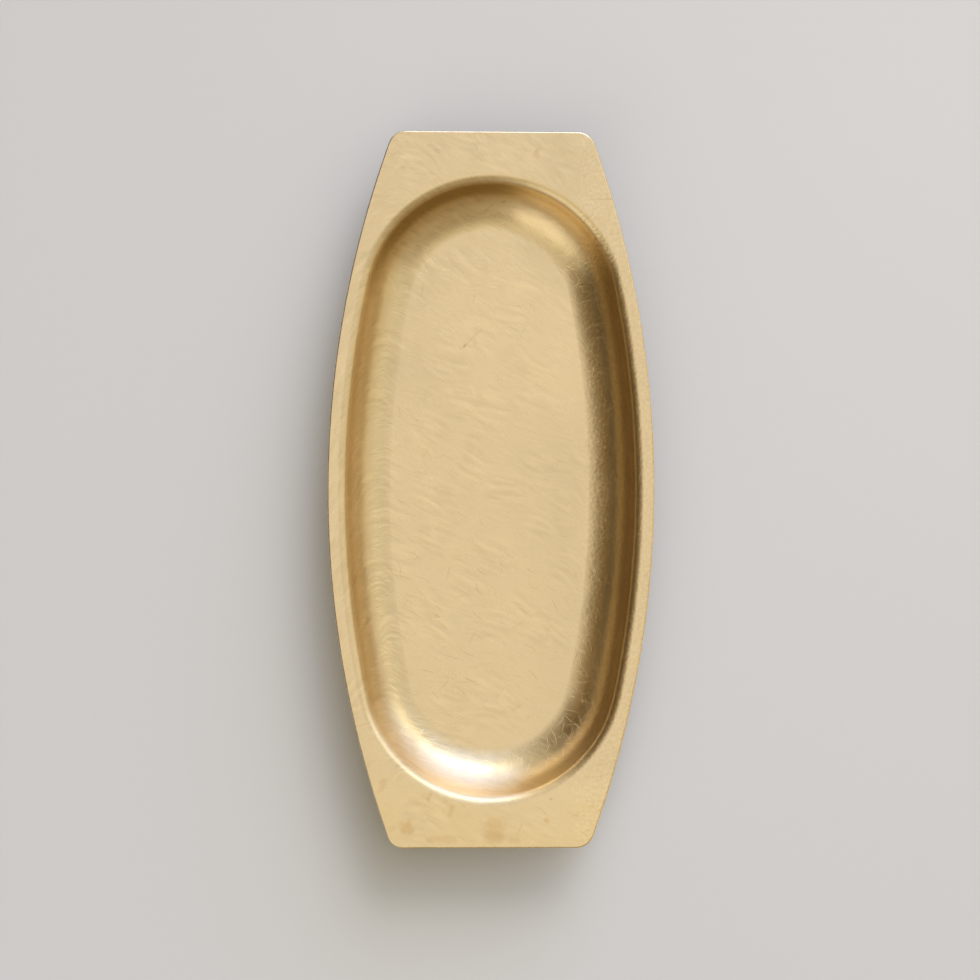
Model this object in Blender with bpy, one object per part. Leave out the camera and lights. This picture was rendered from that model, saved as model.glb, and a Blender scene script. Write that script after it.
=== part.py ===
"""Oval brass tray, pressed in one piece from flat sheet.

Seen from above, the sheet is barrel-shaped: two bowed long sides, two straight ends and rounded
corners. An oval well is pressed down in its middle, and a flat rim is left round it. The well's
floor stands on the table and carries the rim clear of it. The whole tray is one piece of metal,
so it has no joints and nothing on it moves.

The length runs along Y, the width along X, and +Z is up. The origin is on the table, under the
centre of the well. Lengths are in metres and angles in radians.
"""

import math

import bmesh
import bpy
from mathutils import Vector

# The sheet's outline, seen from above.
TRAY_LENGTH = 0.220
TRAY_WIDTH = 0.1004
SIDE_BOW_RADIUS = 0.313
CORNER_RADIUS = 0.0055

# The metal, and how far its cut edge is rounded on each face.
SHEET_THICKNESS = 0.0012
EDGE_ROUNDING = 0.0005

# The well, measured on the upper face: how far the flat rim runs in from the sides and the ends,
# and the section of the wall, which bends over at the lip, runs straight and bends into the floor.
# The bend meets the flat floor in a faint crease, where it still has a little slope.
SIDE_RIM_WIDTH = 0.00285
END_RIM_WIDTH = 0.01275
WELL_DEPTH = 0.0140
LIP_RADIUS = 0.0035
STRAIGHT_WALL = 0.002
WALL_SLOPE = math.radians(70)
CREASE_SLOPE = math.radians(5)

# How many facets each stretch has. An end arc of the well has as many as the stretch of the
# sheet's outline that lies outside it: the shoulder, the corner and half of the straight end.
LIP_STEPS = 6
FLOOR_BEND_STEPS = 8
SIDE_STEPS = 5
SHOULDER_STEPS = 5
CORNER_STEPS = 7
HALF_END_STEPS = 8
END_ARC_STEPS = SHOULDER_STEPS + CORNER_STEPS + HALF_END_STEPS
EDGE_ROUNDING_STEPS = 2
CUT_EDGE_ANGLE = math.radians(60)

# The finish of worn satin brass.
BRASS_COLOUR = (0.78, 0.60, 0.33, 1.0)
BRASS_ROUGHNESS = 0.34
BRASS_METALLIC = 1.0

# The bowed side at +X is an arc about this point of the X axis, and so is the well's side.
SIDE_CENTRE = Vector((TRAY_WIDTH / 2 - SIDE_BOW_RADIUS, 0))

# The well's mouth is an oval of four arcs: two long ones that run parallel to the sheet's sides,
# and two round ends, whose radius follows from the arcs meeting smoothly.
MOUTH_HALF_WIDTH = TRAY_WIDTH / 2 - SIDE_RIM_WIDTH
MOUTH_HALF_LENGTH = TRAY_LENGTH / 2 - END_RIM_WIDTH
MOUTH_SIDE_RADIUS = SIDE_BOW_RADIUS - SIDE_RIM_WIDTH
MOUTH_END_RADIUS = (
    2 * MOUTH_SIDE_RADIUS * MOUTH_HALF_WIDTH - MOUTH_HALF_WIDTH**2 - MOUTH_HALF_LENGTH**2
) / (2 * (MOUTH_SIDE_RADIUS - MOUTH_HALF_LENGTH))
END_CENTRE = Vector((0, MOUTH_HALF_LENGTH - MOUTH_END_RADIUS))

# The floor's bend takes up what the lip and the straight wall leave of the depth.
RIM_HEIGHT = SHEET_THICKNESS + WELL_DEPTH
LIP_DROP = LIP_RADIUS * (1 - math.cos(WALL_SLOPE))
LIP_RUN = LIP_RADIUS * math.sin(WALL_SLOPE)
STRAIGHT_DROP = STRAIGHT_WALL * math.sin(WALL_SLOPE)
STRAIGHT_RUN = STRAIGHT_WALL * math.cos(WALL_SLOPE)
FLOOR_BEND_DROP = WELL_DEPTH - LIP_DROP - STRAIGHT_DROP
FLOOR_BEND_RADIUS = FLOOR_BEND_DROP / (math.cos(CREASE_SLOPE) - math.cos(WALL_SLOPE))
FLOOR_BEND_RUN = FLOOR_BEND_RADIUS * (math.sin(WALL_SLOPE) - math.sin(CREASE_SLOPE))
FLOOR_INSET = LIP_RUN + STRAIGHT_RUN + FLOOR_BEND_RUN


def clear_scene():
    """Empties the scene, so that the tray is all it holds."""
    for found in list(bpy.data.objects):
        bpy.data.objects.remove(found)


def brass():
    """Brass with a worn satin finish."""
    material = bpy.data.materials.new("satin_brass")
    material.use_nodes = True
    shader = material.node_tree.nodes["Principled BSDF"]
    shader.inputs["Base Color"].default_value = BRASS_COLOUR
    shader.inputs["Roughness"].default_value = BRASS_ROUGHNESS
    shader.inputs["Metallic"].default_value = BRASS_METALLIC
    material.diffuse_color = BRASS_COLOUR
    return material


def direction(angle):
    """The unit vector at an angle from +X."""
    return Vector((math.cos(angle), math.sin(angle)))


def arc_angles(start, end, steps):
    """Evenly spaced angles from start to end, with the first one left out."""
    return [start + (end - start) * step / steps for step in range(1, steps + 1)]


def join_angle():
    """Where the well's side arc turns into its end arc: both centres lie on this line."""
    return math.atan2(END_CENTRE.y - SIDE_CENTRE.y, END_CENTRE.x - SIDE_CENTRE.x)


def closed_loop(quarter):
    """A closed loop of vectors from those of one quarter, which runs from the X axis to the Y axis."""
    half = quarter + [Vector((-v.x, v.y)) for v in reversed(quarter[:-1])]
    return half + [-v for v in half[1:-1]]


def mouth_loop():
    """The points of the well's mouth, and the direction straight out of the well at each of them."""
    side_angles = [0.0] + arc_angles(0.0, join_angle(), SIDE_STEPS)
    end_angles = arc_angles(join_angle(), math.pi / 2, END_ARC_STEPS)
    points = [SIDE_CENTRE + MOUTH_SIDE_RADIUS * direction(angle) for angle in side_angles]
    points += [END_CENTRE + MOUTH_END_RADIUS * direction(angle) for angle in end_angles]
    outward = [direction(angle) for angle in side_angles + end_angles]
    return closed_loop(points), closed_loop(outward)


def sheet_loop():
    """The points of the sheet's outline, one for each point of the mouth."""
    corner_y = TRAY_LENGTH / 2 - CORNER_RADIUS
    corner_reach = SIDE_BOW_RADIUS - CORNER_RADIUS
    corner_x = SIDE_CENTRE.x + math.sqrt(corner_reach**2 - corner_y**2)
    corner_centre = Vector((corner_x, corner_y))
    corner_angle = math.atan2(corner_y, corner_x - SIDE_CENTRE.x)
    side_angles = [0.0] + arc_angles(0.0, join_angle(), SIDE_STEPS)
    side_angles += arc_angles(join_angle(), corner_angle, SHOULDER_STEPS)
    points = [SIDE_CENTRE + SIDE_BOW_RADIUS * direction(angle) for angle in side_angles]
    for angle in arc_angles(corner_angle, math.pi / 2, CORNER_STEPS):
        points.append(corner_centre + CORNER_RADIUS * direction(angle))
    for step in range(1, HALF_END_STEPS + 1):
        points.append(Vector((corner_x * (1 - step / HALF_END_STEPS), TRAY_LENGTH / 2)))
    return closed_loop(points)


def well_section():
    """Pairs of inset from the mouth and height, down the well's upper face from rim to floor."""
    section = [(0.0, RIM_HEIGHT)]
    for turn in arc_angles(0.0, WALL_SLOPE, LIP_STEPS):
        section.append((LIP_RADIUS * math.sin(turn), RIM_HEIGHT - LIP_RADIUS * (1 - math.cos(turn))))
    for turn in [WALL_SLOPE] + arc_angles(WALL_SLOPE, CREASE_SLOPE, FLOOR_BEND_STEPS):
        inset = FLOOR_INSET - FLOOR_BEND_RADIUS * (math.sin(turn) - math.sin(CREASE_SLOPE))
        rise = FLOOR_BEND_RADIUS * (math.cos(CREASE_SLOPE) - math.cos(turn))
        section.append((inset, SHEET_THICKNESS + rise))
    return section


def add_ring(tray, loop, height):
    """A closed ring of edges through the points of a loop, at one height."""
    corners = [tray.verts.new((point.x, point.y, height)) for point in loop]
    return [tray.edges.new(ends) for ends in zip(corners, corners[1:] + corners[:1])]


def pressed_tray():
    """The tray: its upper face drawn ring by ring from the sheet's outline down to the well's floor,
    then given the sheet's thickness below that face, and its cut edge rounded."""
    mouth, outward = mouth_loop()
    tray = bmesh.new()
    ring = add_ring(tray, sheet_loop(), RIM_HEIGHT)
    for inset, height in well_section():
        loop = [point - inset * out for point, out in zip(mouth, outward)]
        lower_ring = add_ring(tray, loop, height)
        bmesh.ops.bridge_loops(tray, edges=ring + lower_ring)
        ring = lower_ring
    bmesh.ops.contextual_create(tray, geom=ring)
    bmesh.ops.recalc_face_normals(tray, faces=tray.faces)
    if sum(face.normal.z * face.calc_area() for face in tray.faces) < 0:
        bmesh.ops.reverse_faces(tray, faces=tray.faces)

    mesh = bpy.data.meshes.new("pressed_tray")
    tray.to_mesh(mesh)
    tray.free()
    mesh.shade_smooth()
    mesh.materials.append(brass())
    made = bpy.data.objects.new("pressed_tray", mesh)
    bpy.context.collection.objects.link(made)

    metal = made.modifiers.new("sheet_metal", "SOLIDIFY")
    metal.thickness = SHEET_THICKNESS
    metal.offset = -1
    metal.use_even_offset = True
    rounding = made.modifiers.new("rounded_cut_edge", "BEVEL")
    rounding.width = EDGE_ROUNDING
    rounding.segments = EDGE_ROUNDING_STEPS
    rounding.limit_method = "ANGLE"
    rounding.angle_limit = CUT_EDGE_ANGLE
    return made


clear_scene()
pressed_tray()
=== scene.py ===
"""An oval brass tray pressed from one sheet: its shape, its worn satin finish, the table and the light.

Lengths are in metres. The tray's length runs along Y, its width along X, and +Z is up.
"""

import math

import bmesh
import bpy
import numpy as np
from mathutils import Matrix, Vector


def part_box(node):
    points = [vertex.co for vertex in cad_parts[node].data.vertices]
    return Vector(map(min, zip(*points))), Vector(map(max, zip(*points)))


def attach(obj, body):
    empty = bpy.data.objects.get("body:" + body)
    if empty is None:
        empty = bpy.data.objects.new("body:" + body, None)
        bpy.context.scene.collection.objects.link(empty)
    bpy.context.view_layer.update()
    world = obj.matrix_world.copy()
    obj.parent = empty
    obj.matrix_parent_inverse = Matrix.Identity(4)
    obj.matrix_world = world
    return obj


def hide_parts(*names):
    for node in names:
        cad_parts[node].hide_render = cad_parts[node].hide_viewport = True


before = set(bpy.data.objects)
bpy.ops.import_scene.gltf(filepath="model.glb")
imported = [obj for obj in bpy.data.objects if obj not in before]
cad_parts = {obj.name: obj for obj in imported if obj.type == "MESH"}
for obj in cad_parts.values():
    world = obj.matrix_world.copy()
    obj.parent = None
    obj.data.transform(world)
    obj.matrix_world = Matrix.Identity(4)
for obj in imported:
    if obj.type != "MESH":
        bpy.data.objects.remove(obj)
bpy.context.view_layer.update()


# The tray is one sheet of brass, 1.2 mm thick. It is blanked to a barrel-shaped outline with
# rounded corners, an oval well is pressed down in its middle, and a flat rim stays round it.
# The cut edge is rounded over by hand, so that it is smooth to hold.

_, high_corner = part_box("pressed_tray")
HALF_WIDTH = high_corner.x
HALF_LENGTH = high_corner.y
RIM_HEIGHT = high_corner.z
SHEET_THICKNESS = 0.0012
SIDE_BOW_RADIUS = 0.313
CORNER_RADIUS = 0.0055
EDGE_ROUNDING = 0.0005

# The well's oval mouth lies this far in from the sides and the ends.
SIDE_RIM_WIDTH = 0.00285
END_RIM_WIDTH = 0.01275

# The well's wall bends over at the lip, runs straight, and bends into the floor, which it meets
# in a faint crease: the bend still has a little slope there.
LIP_RADIUS = 0.0035
STRAIGHT_WALL = 0.002
WALL_SLOPE = math.radians(70)
CREASE_SLOPE = math.radians(5)
WELL_DEPTH = RIM_HEIGHT - SHEET_THICKNESS

# A strip of rim beside the lip with its own faces, so that the rim is shaded flat up to there.
RIM_STRIP = 0.0004

# How many faces each stretch has, across the wall and round a quarter of the tray.
LIP_STEPS = 10
STRAIGHT_STEPS = 2
FLOOR_BEND_STEPS = 28
SIDE_STEPS = 28
SHOULDER_STEPS = 24
CORNER_STEPS = 20
HALF_END_STEPS = 22
END_ARC_STEPS = SHOULDER_STEPS + CORNER_STEPS + HALF_END_STEPS
EDGE_ROUNDING_STEPS = 4
CUT_EDGE_ANGLE = math.radians(60)
FLAT_FACE_WEIGHT = 100

# Points of the two mirrored halves that lie this close are one point.
SEAM_MERGE = 0.00001

mouth_half_width = HALF_WIDTH - SIDE_RIM_WIDTH
mouth_half_length = HALF_LENGTH - END_RIM_WIDTH
mouth_side_radius = SIDE_BOW_RADIUS - SIDE_RIM_WIDTH
mouth_end_radius = (
    2 * mouth_side_radius * mouth_half_width - mouth_half_width**2 - mouth_half_length**2
) / (2 * (mouth_side_radius - mouth_half_length))
side_centre = Vector((HALF_WIDTH - SIDE_BOW_RADIUS, 0, 0))
end_centre = Vector((0, mouth_half_length - mouth_end_radius, 0))
join_angle = math.atan2(end_centre.y, -side_centre.x)
lip_drop = LIP_RADIUS * (1 - math.cos(WALL_SLOPE))
lip_run = LIP_RADIUS * math.sin(WALL_SLOPE)
straight_drop = STRAIGHT_WALL * math.sin(WALL_SLOPE)
straight_run = STRAIGHT_WALL * math.cos(WALL_SLOPE)
floor_bend_drop = WELL_DEPTH - lip_drop - straight_drop
floor_bend_radius = floor_bend_drop / (math.cos(CREASE_SLOPE) - math.cos(WALL_SLOPE))
floor_bend_run = floor_bend_radius * (math.sin(WALL_SLOPE) - math.sin(CREASE_SLOPE))
floor_half_width = mouth_half_width - lip_run - straight_run - floor_bend_run
floor_bend_centre = Vector((
    floor_half_width - floor_bend_radius * math.sin(CREASE_SLOPE),
    0,
    SHEET_THICKNESS + floor_bend_radius * math.cos(CREASE_SLOPE),
))


def one_point(place):
    """Starts a line of the open mesh: a small plane drawn together into one point, at its place."""
    bpy.ops.mesh.select_mode(type="VERT")
    bpy.ops.mesh.select_all(action="DESELECT")
    bpy.ops.mesh.primitive_plane_add(size=RIM_STRIP, location=(0, 0, 0))
    bpy.ops.mesh.merge(type="CENTER")
    bpy.ops.transform.translate(value=place)


def select_edges(tray, chosen):
    """Selects the edges of the open mesh that a test on the edge picks, and nothing else."""
    bpy.ops.mesh.select_all(action="DESELECT")
    bpy.ops.mesh.select_mode(type="EDGE")
    drawn = bmesh.from_edit_mesh(tray.data)
    for edge in drawn.edges:
        if chosen(edge):
            edge.select_set(True)
    drawn.select_flush_mode()
    bmesh.update_edit_mesh(tray.data)


bpy.ops.object.select_all(action="DESELECT")
bpy.ops.mesh.primitive_plane_add(size=RIM_STRIP, enter_editmode=True)
tray = bpy.context.object
tray.name = "brass_tray"
tray.data.name = "brass_tray"
bpy.ops.mesh.delete(type="VERT")

# The section of the well's upper face at +X, from the rim down to the floor.
one_point((mouth_half_width + RIM_STRIP, 0, RIM_HEIGHT))
bpy.ops.mesh.extrude_region_move(TRANSFORM_OT_translate={"value": (-RIM_STRIP, 0, 0)})
lip_centre = (mouth_half_width, 0, RIM_HEIGHT - LIP_RADIUS)
bpy.ops.mesh.spin(steps=LIP_STEPS, angle=WALL_SLOPE, center=lip_centre, axis=(0, 1, 0))
for step in range(STRAIGHT_STEPS):
    straight = Vector((-math.cos(WALL_SLOPE), 0, -math.sin(WALL_SLOPE))) * STRAIGHT_WALL / STRAIGHT_STEPS
    bpy.ops.mesh.extrude_region_move(TRANSFORM_OT_translate={"value": straight})
bpy.ops.mesh.spin(
    steps=FLOOR_BEND_STEPS, angle=CREASE_SLOPE - WALL_SLOPE, center=floor_bend_centre, axis=(0, 1, 0)
)

# The section is swept round a quarter of the oval: along the bowed side, then round the end.
bpy.ops.mesh.select_all(action="SELECT")
bpy.ops.mesh.spin(steps=SIDE_STEPS, angle=-join_angle, center=side_centre, axis=(0, 0, 1))
bpy.ops.mesh.spin(
    steps=END_ARC_STEPS, angle=join_angle - math.pi / 2, center=end_centre, axis=(0, 0, 1)
)

# A quarter of the sheet's outline: the bowed side, the corner and half of the straight end.
corner_y = HALF_LENGTH - CORNER_RADIUS
corner_x = side_centre.x + math.sqrt((SIDE_BOW_RADIUS - CORNER_RADIUS) ** 2 - corner_y**2)
corner_angle = math.atan2(corner_y, corner_x - side_centre.x)
one_point((HALF_WIDTH, 0, RIM_HEIGHT))
bpy.ops.mesh.spin(steps=SIDE_STEPS, angle=-join_angle, center=side_centre, axis=(0, 0, 1))
bpy.ops.mesh.spin(
    steps=SHOULDER_STEPS, angle=join_angle - corner_angle, center=side_centre, axis=(0, 0, 1)
)
bpy.ops.mesh.spin(
    steps=CORNER_STEPS, angle=corner_angle - math.pi / 2, center=(corner_x, corner_y, 0), axis=(0, 0, 1)
)
end_step = (-corner_x / HALF_END_STEPS, 0, 0)
for step in range(HALF_END_STEPS):
    bpy.ops.mesh.extrude_region_move(TRANSFORM_OT_translate={"value": end_step})

# The flat rim fills the space between the outline and the well.
cut_plane_reach = RIM_STRIP / 10


def borders_rim(edge):
    """True of the outline and of the rim strip's outer side, but not of an edge on the cut planes."""
    a, b = (corner.co for corner in edge.verts)
    on_cut = max(abs(a.x), abs(b.x)) < cut_plane_reach or max(abs(a.y), abs(b.y)) < cut_plane_reach
    at_top = min(a.z, b.z) > RIM_HEIGHT - cut_plane_reach
    return at_top and not on_cut and len(edge.link_faces) < 2


select_edges(tray, borders_rim)
bpy.ops.mesh.bridge_edge_loops()
bpy.ops.object.mode_set(mode="OBJECT")

mirrored = tray.modifiers.new("four_quarters", "MIRROR")
mirrored.use_axis = (True, True, False)
mirrored.use_mirror_merge = True
mirrored.merge_threshold = SEAM_MERGE
bpy.ops.object.modifier_apply(modifier=mirrored.name)

# The floor is one flat face, and the whole sheet is given its thickness below the upper face.
bpy.ops.object.mode_set(mode="EDIT")
select_edges(tray, lambda edge: edge.is_boundary and edge.verts[0].co.z < RIM_HEIGHT / 2)
bpy.ops.mesh.edge_face_add()
bpy.ops.mesh.select_all(action="SELECT")
bpy.ops.mesh.normals_make_consistent(inside=False)
drawn = bmesh.from_edit_mesh(tray.data)
if sum(face.normal.z * face.calc_area() for face in drawn.faces) < 0:
    bpy.ops.mesh.flip_normals()
bpy.ops.mesh.faces_shade_smooth()
bpy.ops.object.mode_set(mode="OBJECT")

# Each point of the sheet keeps the place that it had in the flat blank, in millimetres, so that the
# finish runs on from the floor up the wall without a stretch: the floor's points stay where they
# are, and those further out lay further out still, by what the slope below them takes up.
MILLIMETRES = 1000
cut_points = (v.co for v in tray.data.vertices if v.co.x > 0 and abs(v.co.y) < cut_plane_reach)
section = sorted((point.x, point.z) for point in cut_points)
section_x, section_z = np.array(section).T
section_length = np.append(0, np.cumsum(np.hypot(np.diff(section_x), np.diff(section_z))))
section_slack = section_length - (section_x - section_x[0])


def blank_place(point):
    """Where a point of the sheet lay in the flat blank."""
    flat = Vector((abs(point.x), abs(point.y), 0))
    from_end = flat - end_centre
    at_end = math.atan2(from_end.y, from_end.x) > join_angle
    centre, radius = (end_centre, mouth_end_radius) if at_end else (side_centre, mouth_side_radius)
    outward = flat - centre
    inset = radius - outward.length
    slack = np.interp(mouth_half_width - inset, section_x, section_slack)
    place = flat + outward.normalized() * slack
    return MILLIMETRES * math.copysign(place.x, point.x), MILLIMETRES * math.copysign(place.y, point.y)


blank = tray.data.uv_layers[0]
blank.name = "blank"
places = [blank_place(vertex.co) for vertex in tray.data.vertices]
for loop in tray.data.loops:
    blank.uv[loop.index].vector = places[loop.vertex_index]

metal = tray.modifiers.new("sheet_metal", "SOLIDIFY")
metal.thickness = SHEET_THICKNESS
metal.offset = -1
metal.use_even_offset = True
rounding = tray.modifiers.new("rounded_cut_edge", "BEVEL")
rounding.width = EDGE_ROUNDING
rounding.segments = EDGE_ROUNDING_STEPS
rounding.limit_method = "ANGLE"
rounding.angle_limit = CUT_EDGE_ANGLE
flat_faces = tray.modifiers.new("flat_faces_stay_flat", "WEIGHTED_NORMAL")
flat_faces.mode = "FACE_AREA"
flat_faces.weight = FLAT_FACE_WEIGHT
for step in (metal, rounding, flat_faces):
    bpy.ops.object.modifier_apply(modifier=step.name)


# The brass is rubbed by hand with a coarse pad, touch by touch, which leaves patches of short
# curved strokes over a satin ground. Use has added single scratches, specks and dull stains.


class Link:
    """A socket of a node tree. Arithmetic on links adds the Math nodes that work it out."""

    def __init__(self, tree, socket=None):
        self.tree = tree
        self.socket = socket

    def node(self, kind, settings=(), inputs=(), output=0):
        """Adds a node with its settings, and values or links for its inputs. Returns one output."""
        made = self.tree.nodes.new(kind)
        for name, value in dict(settings).items():
            if name == "stops":
                for place, (position, colour) in enumerate(value):
                    stops = made.color_ramp.elements
                    stop = stops[place] if place < len(stops) else stops.new(position)
                    stop.position = position
                    stop.color = (*colour, 1)
            else:
                setattr(made, name, value)
        for name, value in dict(inputs).items():
            if isinstance(value, Link):
                self.tree.links.new(value.socket, made.inputs[name])
            else:
                made.inputs[name].default_value = value
        return Link(self.tree, made.outputs[output])

    def output(self, name):
        """Another output of the same node."""
        return Link(self.tree, self.socket.node.outputs[name])

    def part(self, axis):
        """One part of a vector or a colour."""
        return self.node("ShaderNodeSeparateXYZ", {}, {0: self}, axis)

    def maths(self, operation, *values):
        return self.node("ShaderNodeMath", {"operation": operation}, enumerate((self, *values)))

    def vector_maths(self, operation, other):
        return self.node("ShaderNodeVectorMath", {"operation": operation}, {0: self, 1: other})

    def __add__(self, other):
        return self.maths("ADD", other)

    def __mul__(self, other):
        return self.maths("MULTIPLY", other)

    def __sub__(self, other):
        return self.maths("SUBTRACT", other)

    def __rsub__(self, other):
        return self.node("ShaderNodeMath", {"operation": "SUBTRACT"}, {0: other, 1: self})

    def __truediv__(self, other):
        return self.maths("DIVIDE", other)

    def __abs__(self):
        return self.maths("ABSOLUTE")

    __radd__ = __add__
    __rmul__ = __mul__

    def rising(self, low, high):
        """Goes smoothly from 0 at low to 1 at high."""
        inputs = {"Value": self, "From Min": low, "From Max": high}
        return self.node("ShaderNodeMapRange", {"interpolation_type": "SMOOTHSTEP"}, inputs)

    def falling(self, low, high):
        """Goes smoothly from 1 at low to 0 at high."""
        return 1 - self.rising(low, high)

    def within(self, out_below, in_above, in_below, out_above):
        """1 between the two inner values, and 0 outside the two outer ones."""
        return self.rising(out_below, in_above) * self.falling(in_below, out_above)

    def times(self, colour):
        """A colour, or a link to one, made this many times as bright."""
        return self.node("ShaderNodeVectorMath", {"operation": "SCALE"}, {0: colour, "Scale": self})

    def blend(self, first, second, mode="MIX"):
        """Mixes two colours by this factor."""
        settings = {"data_type": "RGBA", "blend_type": mode}
        return self.node("ShaderNodeMix", settings, {"Factor": self, 6: first, 7: second}, 2)


# Places on the brass are in millimetres: in the flat blank, across and along it from its middle,
# and on the finished tray, as it is seen from above, with the height over the table.
DEGREE = math.radians(1)
BRASS_COLOUR = (0.725, 0.558, 0.322)
BRASS_ROUGHNESS = 0.26

material = bpy.data.materials.new("worn_satin_brass")
material.use_nodes = True
shader = material.node_tree.nodes["Principled BSDF"]
shader.inputs["Metallic"].default_value = 1
blank_map = Link(material.node_tree).node("ShaderNodeUVMap", {"uv_map": "blank"})
across_blank = blank_map.part(0)
along_blank = blank_map.part(1)
seen = Link(material.node_tree).node("ShaderNodeTexCoord").output("Object")
seen_x, seen_y, seen_z = (seen.part(axis) * MILLIMETRES for axis in range(3))


def cloud(x, y, depth, detail=0.0):
    """Smooth noise about 0, with features about 1 across, at one depth of a solid noise."""
    place = blank_map.node("ShaderNodeCombineXYZ", {}, {0: x, 1: y, 2: depth})
    inputs = {"Vector": place, "Scale": 1.0, "Detail": detail}
    return blank_map.node("ShaderNodeTexNoise", {}, inputs) - 0.5


# A touch fades out between these distances from its middle, as shares of its patch.
TOUCH_FADE = (0.2, 0.62)

# Strokes bend a little, and single scratches more: these times the square of their length, at most.
STROKE_BOW = 0.06
SCRATCH_BOW = 0.16

# Each patch takes its strokes from a chance depth of the solid noise.
NOISE_DEPTHS = 99


def touches(size, seed):
    """One touch of the pad on each patch of the sheet, patches about this many millimetres wide."""
    place = blank_map.vector_maths("ADD", (seed * math.e, seed * math.pi, 0))
    inputs = {"Vector": place, "Scale": 1 / size}
    patch = blank_map.node("ShaderNodeTexVoronoi", {"voronoi_dimensions": "2D"}, inputs)
    offset = place.vector_maths("SUBTRACT", patch.output("Position"))
    return offset, patch.output("Color"), patch.falling(*TOUCH_FADE)


def turned(offset, chance, lean, spread, bow):
    """A place seen along and across a stroke that leans about so many degrees and bends a little."""
    turn = (lean + (chance.part(0) * 2 - 1) * spread) * DEGREE
    x, y, cosine, sine = offset.part(0), offset.part(1), turn.maths("COSINE"), turn.maths("SINE")
    along = x * cosine + y * sine
    across = y * cosine - x * sine
    return along, across + (chance.part(1) - 0.5) * bow * along * along


def strokes(size, seed, length, width, lean, spread):
    """Patches of parallel strokes, so many millimetres long and wide, about 0."""
    offset, chance, reach = touches(size, seed)
    along, across = turned(offset, chance, lean, spread, STROKE_BOW)
    return cloud(along / length, across / width, chance.part(2) * NOISE_DEPTHS) * reach


def scratches(size, seed, length, width, lean, spread, share):
    """Single scratches from 0 to 1, on a share of the patches."""
    offset, chance, reach = touches(size, seed)
    along, across = turned(offset, chance, lean, spread, SCRATCH_BOW)
    line = abs(across).falling(0, width)
    ends = abs(along).falling(length / 5, length / 2)
    return line * ends * reach * chance.part(2).maths("LESS_THAN", share)


# The pad swung in wide arcs: up the left wall, over, and down across the floor to the right. On the
# right wall it was dabbed every way, which left small dents in place of strokes. Hands have since
# worn the strokes smooth on the rim, round the lip and at both ends.
ANY_WAY = 90
DENT_SIZE = 1.1
right = across_blank.rising(26, 34)
lean = 62 - across_blank.rising(-54, -34) * 50 - across_blank.rising(-35, -29) * 38
spread = 14 + right * 70
pressure = (1 - right * 0.6) * (1.1 - across_blank.rising(-25, 25) * 0.3)
fine = strokes(size=9, seed=1, length=5, width=0.85, lean=lean, spread=spread)
fine += strokes(size=7, seed=2, length=3.5, width=0.65, lean=lean - 8, spread=spread + 10)
fine = fine * pressure
broad = strokes(size=15, seed=3, length=8, width=1.5, lean=lean + 3, spread=spread) * pressure
unworn = (1 - seen_z.rising(9, 12) * 0.93) * (0.35 + seen_y.rising(-85, -60) * 0.65)
unworn = unworn * (1 - seen_y.rising(48, 68) * seen_z.rising(1.25, 1.7) * 0.7)
dents = cloud(across_blank / DENT_SIZE, along_blank / DENT_SIZE, depth=21.0)
lines = scratches(size=7, seed=4, length=5.5, width=0.35, lean=lean, spread=spread, share=0.3)
lines += scratches(size=8, seed=5, length=6, width=0.35, lean=lean, spread=ANY_WAY, share=0.2)

# Where the well bends up to the right and at the near end, and on its left wall, a coarser grit has
# left fine crossing hairs.
bend = seen_z.within(1.25, 1.8, 6, 9)
scored = seen_x.rising(8, 24) * (0.55 + abs(seen_y - 5).rising(40, 70) * 0.45)
scored = bend * (scored + seen_y.falling(-76, -62) * 0.5)
scored += seen_x.falling(-42, -36) * seen_z.within(4, 6, 12, 14) * 0.6
hairs = scratches(size=4.5, seed=6, length=5, width=0.14, lean=20, spread=ANY_WAY, share=0.85)
hairs += scratches(size=5.5, seed=11, length=6, width=0.14, lean=50, spread=ANY_WAY, share=0.85)
hairs += scratches(size=6.5, seed=14, length=8, width=0.14, lean=10, spread=ANY_WAY, share=0.9)
hairs += scratches(size=3.6, seed=12, length=4.2, width=0.13, lean=80, spread=ANY_WAY, share=0.8) * 0.7
hairs = hairs * scored

# The relief of all this in millimetres, on a sheet that the press has left very slightly wavy.
STROKE_DEPTH = 0.042
BROAD_STROKE_DEPTH = 0.054
SCRATCH_DEPTH = 0.016
HAIR_DEPTH = 0.014
DENT_DEPTH = 0.008
RIGHT_DENT_DEPTH = 0.05
WAVE_DEPTH = 0.2
WAVE_SIZE = 9
waves = cloud(across_blank / WAVE_SIZE, along_blank / WAVE_SIZE, depth=3.0, detail=1.0)
height = (fine * STROKE_DEPTH + broad * BROAD_STROKE_DEPTH - lines * SCRATCH_DEPTH) * unworn
height += dents * (DENT_DEPTH + right * RIGHT_DENT_DEPTH) - hairs * HAIR_DEPTH + waves * WAVE_DEPTH
inputs = {"Strength": 1.0, "Distance": 1 / MILLIMETRES, "Height": height}
bump = height.node("ShaderNodeBump", {}, inputs)
material.node_tree.links.new(bump.socket, shader.inputs["Normal"])

# The walls are duller than the floor, most of all the near left one, and the satin is a little uneven.
MOTTLE_WIDTH = 16
MOTTLE_LENGTH = 22
wall = seen_z.within(2, 5, 14.2, 15.1)
dull_wall = wall * seen_y.falling(-85, -55) * seen_x.falling(0, 15)
mottle = cloud(across_blank / MOTTLE_WIDTH, along_blank / MOTTLE_LENGTH, depth=7.0, detail=3.0)
rough = BRASS_ROUGHNESS + wall * 0.09 + dull_wall * 0.15 + (fine + mottle + lines + hairs) * 0.1
material.node_tree.links.new(rough.socket, shader.inputs["Roughness"])

RAGGED_SIZE = 2.5


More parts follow.
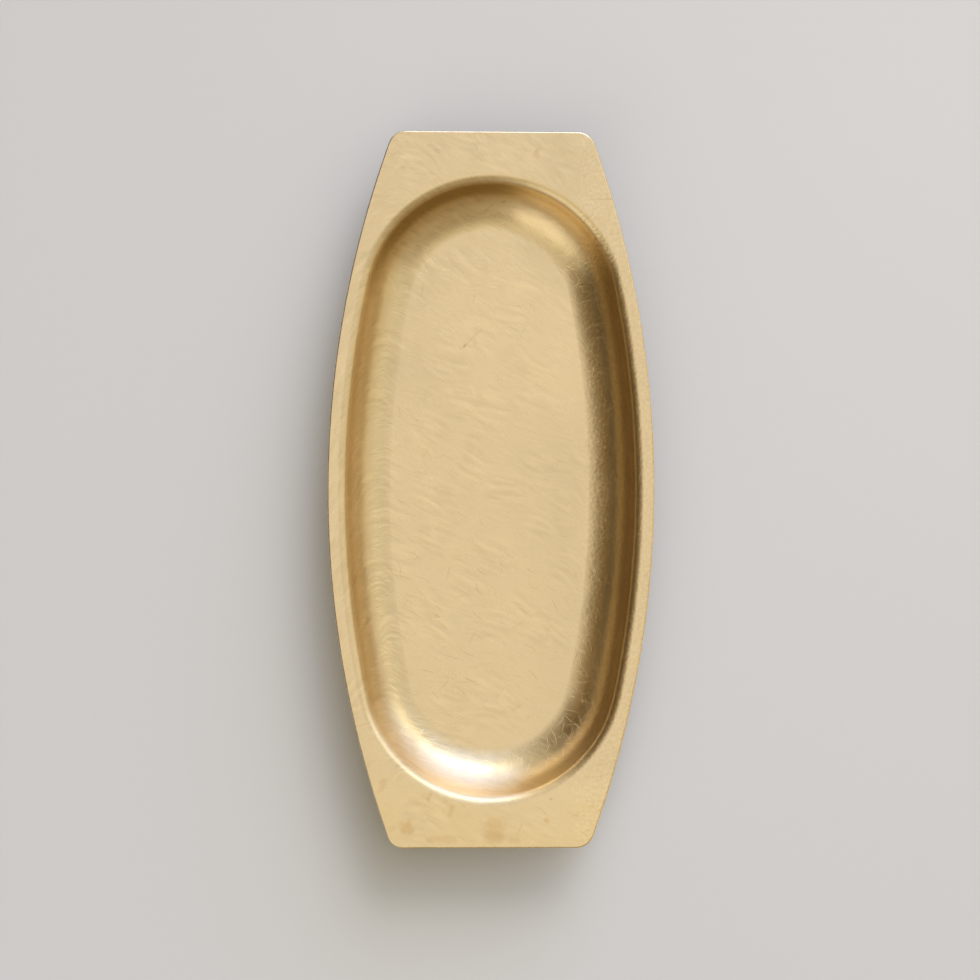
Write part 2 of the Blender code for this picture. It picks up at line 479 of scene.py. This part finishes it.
def mark(x, y, length, width, lean, ragged):
    """A mark from 0 to 1 whose middle is so many millimetres from the tray's, seen from above."""
    cosine, sine = math.cos(lean * DEGREE), math.sin(lean * DEGREE)
    rag_x, rag_y = seen_x / RAGGED_SIZE, seen_y / RAGGED_SIZE
    from_x = seen_x - x + cloud(rag_x, rag_y, depth=31.0, detail=2.0) * ragged
    from_y = seen_y - y + cloud(rag_x, rag_y, depth=37.0, detail=2.0) * ragged
    along = abs(from_x * cosine + from_y * sine)
    across = abs(from_y * cosine - from_x * sine)
    return along.falling(length / 2 - width / 2.2, length / 2) * across.falling(width / 6, width / 2)


# Hands have left dull brownish stains, most of them on the near rim, whose brass has turned a little
# warmer. Each has its place, length, width, lean and raggedness, and its strength.
STAINS = (
    (-25.6, -103.6, 6.2, 6.0, 12, 3.5, 1.1),
    (1.2, -104.6, 11.2, 8.2, 90, 3.0, 0.85),
    (-12.0, -98.4, 4.4, 2.0, 75, 1.5, 0.6),
    (-18.7, -94.2, 3.2, 1.6, 70, 1.5, 0.6),
    (-33.4, -91.0, 6.0, 2.6, 68, 2.5, 0.5),
    (17.2, -101.6, 2.8, 2.4, 0, 1.5, 0.8),
    (-15.0, -107.2, 11, 2.8, 0, 3.0, 0.5),
    (7.2, -107.4, 4.5, 3.4, 0, 2.5, 0.6),
    (13.9, 103.4, 4.5, 2.6, 60, 2.5, 0.5),
    (-30, -104, 3.0, 2.2, 30, 2.0, 0.4),
)
stains = sum(mark(*place) * strength for *place, strength in STAINS)
warmer = seen_y.falling(-100, -84) * (0.75 + mottle * 2)

# The steep wall is painted darker and browner along the right side and at the left of the far end, and
# faintly
# along the left side: painted shade, which dims what the wall mirrors there.
painted_wall_shade = seen_y.rising(53, 70) * seen_x.within(-46, -28, 0, 18) * seen_z.within(6, 9, 12.6, 14.2)
painted_wall_shade += seen_x.rising(26, 35) * seen_z.within(3.4, 4.8, 14.1, 15) * 0.6
painted_wall_shade += seen_x.falling(-42, -38) * seen_z.within(7, 9.5, 12.6, 14.2) * 0.1

# Single dark marks: a scratch in the floor with a nick at its end, and specks in the walls and the
# rim. Small chance nicks lie between them.
NICKS = (
    (-5.4, 47.4, 8.2, 0.75, 46, 0, 0.45),
    (-8.0, 44.8, 1.8, 1.3, 46, 0.5, 1),
    (4.1, 89.4, 1.9, 1.0, 15, 0.5, 1),
    (-0.6, 87.6, 4.2, 0.6, 38, 0, 0.7),
    (29.8, 69.9, 1.8, 1.2, 60, 0.5, 0.8),
    (33.6, 89.3, 7.0, 0.7, 0, 0.6, 0.5),
    (18.6, -94.9, 1.6, 1.1, -15, 0.5, 0.8),
    (13.7, 103.9, 1.4, 1.2, 0, 0.5, 0.4),
)
nicks = sum(mark(*place) * strength for *place, strength in NICKS)
nicks += scratches(size=13, seed=9, length=2.0, width=0.45, lean=0, spread=ANY_WAY, share=0.25) * 0.25

# The brass is a little brighter or darker from place to place, at random and along its strokes, hairs
# and nicks.
# Over that, light and shade are painted in: painted reflections brighten the far floor, the near end,
# the near right bend and the right of the near lip, and painted shade darkens the far right bend and the
# bend low in the near end.
tone_and_painted_light = 1 + mottle * 0.16 + fine * 0.15 + broad * 0.22 + dents * (0.03 + right * 0.14)
tone_and_painted_light += hairs * 0.33 - nicks * 0.2
# Painted reflection: the far floor is painted brighter towards the right, the rest of the floor a little
# darker on its right.
far_floor = seen_y.within(5, 50, 56, 78)
painted_floor_light = far_floor * seen_x.rising(-22, 2) * 0.05 - (1 - far_floor) * seen_x.rising(8, 24) * 0.03
tone_and_painted_light += painted_floor_light * (1 - right)
# Painted highlight: the near end is painted brighter, more so to the right.
tone_and_painted_light += seen_y.falling(-92, -84) * (0.025 + seen_x.rising(4, 22) * 0.05)
# Painted reflection: the near right bend is painted brighter.
tone_and_painted_light += bend * seen_x.rising(24, 29) * seen_y.falling(-52, -26) * 0.12
# Painted shade: the far right bend is painted darker.
tone_and_painted_light += bend * seen_x.rising(21, 26) * seen_y.within(30, 52, 62, 72) * -0.14
# Painted shade: the bend low in the near end is painted darker.
low_bend = seen_z.within(1.25, 1.6, 3.6, 5) * seen_y.falling(-70, -60)
tone_and_painted_light += low_bend * seen_x.within(4, 12, 24, 27) * -0.12
lip = seen_z.within(12.8, 13.6, 14.9, 15.15)
# Painted highlight: the lip is painted brighter at the right of the near end.
tone_and_painted_light += lip * seen_y.falling(-91, -84) * seen_x.rising(0, 8) * 0.12

# Painted shade on the lip: it is painted darker and warmer at the left of the near end, and darker at
# the right of the far end, which dims the lip's bright reflections there.
painted_near_lip_shade = lip * seen_y.falling(-88, -76) * seen_x.falling(-8, 5)
painted_far_lip_shade = lip * seen_y.rising(76, 88) * seen_x.rising(-5, 15)

shade = tone_and_painted_light.times(BRASS_COLOUR)
# Real patina and stains tint the colour, and painted shade darkens the wall and the lip.
for place, tint in (
    (warmer, (1.0, 0.985, 0.93, 1)),
    (stains, (0.89, 0.82, 0.72, 1)),
    (painted_wall_shade, (0.62, 0.58, 0.42, 1)),
    (painted_near_lip_shade, (0.93, 0.905, 0.8, 1)),
    (painted_far_lip_shade, (0.9, 0.9, 0.88, 1)),
):
    shade = place.blend(shade, tint, "MULTIPLY")
material.node_tree.links.new(shade.socket, shader.inputs["Base Color"])
tray.data.materials.append(material)

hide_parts("pressed_tray")
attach(tray, "root")


# The tray stands on a wide flat table painted a matt warm grey. Its paint is a little paler to the far
# right:
# painted light, as if the window's light fell brighter there. It is only the stage for the picture, and
# no part of the tray.

TABLE_RADIUS = 6.0
TABLE_SIDES = 96
TABLE_PAINT = (0.57, 0.551, 0.521)
TABLE_ROUGHNESS = 0.9
TABLE_GLOSS = 0.2
LIGHT_FALLOFF_FROM, LIGHT_FALLOFF_TO = -0.2, 0.2

bpy.ops.object.select_all(action="DESELECT")
bpy.ops.mesh.primitive_circle_add(vertices=TABLE_SIDES, radius=TABLE_RADIUS, fill_type="NGON")
table = bpy.context.object
table.name = "table"
table_material = bpy.data.materials.new("table_paint")
table_material.use_nodes = True
paint = table_material.node_tree.nodes["Principled BSDF"]
spot = Link(table_material.node_tree).node("ShaderNodeTexCoord").output("Object")
to_right, to_far = (spot.part(axis).rising(LIGHT_FALLOFF_FROM, LIGHT_FALLOFF_TO) for axis in range(2))
# Painted light: the paint grows paler to the right, and more to the far right, where the window's light
# would be brighter.
painted_light_falloff = 0.97 + to_right * 0.02 + to_right * to_far * 0.1
painted = painted_light_falloff.times(TABLE_PAINT)
table_material.node_tree.links.new(painted.socket, paint.inputs["Base Color"])
paint.inputs["Roughness"].default_value = TABLE_ROUGHNESS
paint.inputs["Specular IOR Level"].default_value = TABLE_GLOSS
table.data.materials.append(table_material)


# Plain studio light: a pale room, dark to the tray's left and low before it, with a pale corner
# between, and one large window of cool light beyond the tray's far end, a little to the right.

HALF_TURN = 180

world = bpy.data.worlds.new("studio")
bpy.context.scene.world = world
world.use_nodes = True
tree = world.node_tree
tree.nodes["Background"].inputs["Color"].default_value = (1, 1, 1, 1)
toward = Link(tree).node("ShaderNodeTexCoord")
zenith = toward.part(2).maths("ARCCOSINE") / DEGREE
azimuth = toward.part(0).maths("ARCTAN2", toward.part(1)) / DEGREE


def by_zenith(*stops):
    """A colour for each angle from overhead, in degrees. A single number is a grey."""
    ramp = []
    for angle, colour in stops:
        ramp.append((angle / HALF_TURN, colour if isinstance(colour, tuple) else (colour,) * 3))
    return toward.node("ShaderNodeValToRGB", {"stops": ramp}, {0: zenith / HALF_TURN})


OVERHEAD = 1.07
open_room = by_zenith(
    (0, OVERHEAD), (7, (0.925, 0.9, 0.835)), (14, (0.96, 0.94, 0.87)), (22, (0.87, 0.85, 0.78)),
    (60, (0.88, 0.86, 0.73)), (70, (0.78, 0.72, 0.53)), (85, (1.15, 1.02, 0.68)),
)
near_room = by_zenith(
    (0, OVERHEAD), (6, (1.2, 1.21, 1.23)), (8, (1.22, 1.24, 1.27)), (12, (1.06, 1.04, 0.97)),
    (17, (0.87, 0.83, 0.66)), (24, (0.74, 0.68, 0.53)), (36, (0.5, 0.43, 0.3)), (48, (0.46, 0.39, 0.28)),
    (62, (0.5, 0.42, 0.29)), (74, (0.45, 0.37, 0.24)), (84, (0.17, 0.14, 0.08)),
)
pale_corner = by_zenith(
    (0, OVERHEAD), (12, (0.86, 0.8, 0.6)), (24, (0.95, 0.92, 0.78)), (40, (1.12, 1.07, 0.87)),
    (52, (1.4, 1.37, 1.22)), (70, (1.36, 1.33, 1.18)), (88, 0.48),
)
dark_room = by_zenith(
    (0, OVERHEAD), (8, 1.15), (14, (0.83, 0.79, 0.72)), (22, (0.68, 0.65, 0.57)),
    (30, (0.39, 0.33, 0.24)), (40, (0.31, 0.245, 0.15)), (50, (0.22, 0.15, 0.06)),
    (62, (0.14, 0.09, 0.03)), (75, 0.02), (90, (0.2, 0.15, 0.1)),
)
window = by_zenith(
    (8, 0), (14, (0.05, 0.06, 0.09)), (24, (0.06, 0.1, 0.22)), (34, (0.06, 0.13, 0.32)),
    (44, (0.16, 0.22, 0.4)), (53, (0.85, 0.87, 1.0)), (62, (0.95, 1.02, 1.35)), (70, (0.42, 0.72, 1.45)),
    (80, (0.08, 0.36, 1.45)), (90, (0.06, 0.23, 0.85)),
)

# The parts of the room lie at these azimuths, in degrees from the far end towards the right.
room = abs(azimuth).rising(100, 130).blend(open_room, near_room)
room = azimuth.within(-176, -155, -131, -110).blend(room, pale_corner)
room = azimuth.within(-126, -104, -54, -23).blend(room, dark_room)

# The window is brightest a little right of the far end, and has a fainter, warmer pane beside it.
WINDOW_STRENGTH = 4.5
PANE_STRENGTH = 1.15
PANE_TINT = (1.0, 0.96, 0.72, 1)
at_window = azimuth.within(-14, 12, 20, 58) * WINDOW_STRENGTH
at_window += azimuth.within(42, 62, 66, 84) * PANE_STRENGTH
glow = at_window.times(window)
glow = azimuth.rising(42, 62).blend(glow, PANE_TINT, "MULTIPLY")
lit = room.vector_maths("ADD", glow)

# Behind the table's edge the camera sees a plain backdrop.
BACKDROP = (0.62, 0.6, 0.57, 1)
to_camera = glow.node("ShaderNodeLightPath").output("Is Camera Ray")
lit = to_camera.blend(lit, BACKDROP)
tree.links.new(lit.socket, tree.nodes["Background"].inputs["Color"])

# On the table the same window is a soft lamp, which throws the tray's shadow to the near left. The
# brass doesn't mirror the lamp, because it mirrors the window.
WINDOW_ZENITH = math.radians(66)
WINDOW_AZIMUTH = math.radians(24)
LAMP_SOFTNESS = math.radians(38)
LAMP_STRENGTH = 1.5
LAMP_COLOUR = (0.97, 0.95, 0.91)
bpy.ops.object.light_add(type="SUN", rotation=(-WINDOW_ZENITH, 0, -WINDOW_AZIMUTH))
lamp = bpy.context.object
lamp.name = "window_on_table"
lamp.data.angle = LAMP_SOFTNESS
lamp.data.energy = LAMP_STRENGTH
lamp.data.color = LAMP_COLOUR
lamp.visible_glossy = False


# The camera looks down on the tray, very slightly from its left.

PICTURE_SIDE = 980
PIXELS_PER_METRE = 3260.5
CAMERA_DISTANCE = 0.785
CAMERA_TILT = math.radians(2)
CAMERA_ROLL = math.radians(0.12)
CENTRE_PIXEL = (491.1, 489.75)
SENSOR_WIDTH = 36
target = Vector((
    (PICTURE_SIDE / 2 - CENTRE_PIXEL[0]) / PIXELS_PER_METRE,
    (CENTRE_PIXEL[1] - PICTURE_SIDE / 2) / PIXELS_PER_METRE,
    RIM_HEIGHT,
))
back = Vector((-math.sin(CAMERA_TILT), 0, math.cos(CAMERA_TILT)))
bpy.ops.object.camera_add(location=target + back * CAMERA_DISTANCE, rotation=(0, -CAMERA_TILT, 0))
camera = bpy.context.object
camera.rotation_euler.rotate_axis("Z", CAMERA_ROLL)
camera.data.sensor_width = SENSOR_WIDTH
camera.data.lens = SENSOR_WIDTH * CAMERA_DISTANCE * PIXELS_PER_METRE / PICTURE_SIDE
bpy.context.scene.camera = camera
bpy.context.scene.view_settings.view_transform = "Standard"
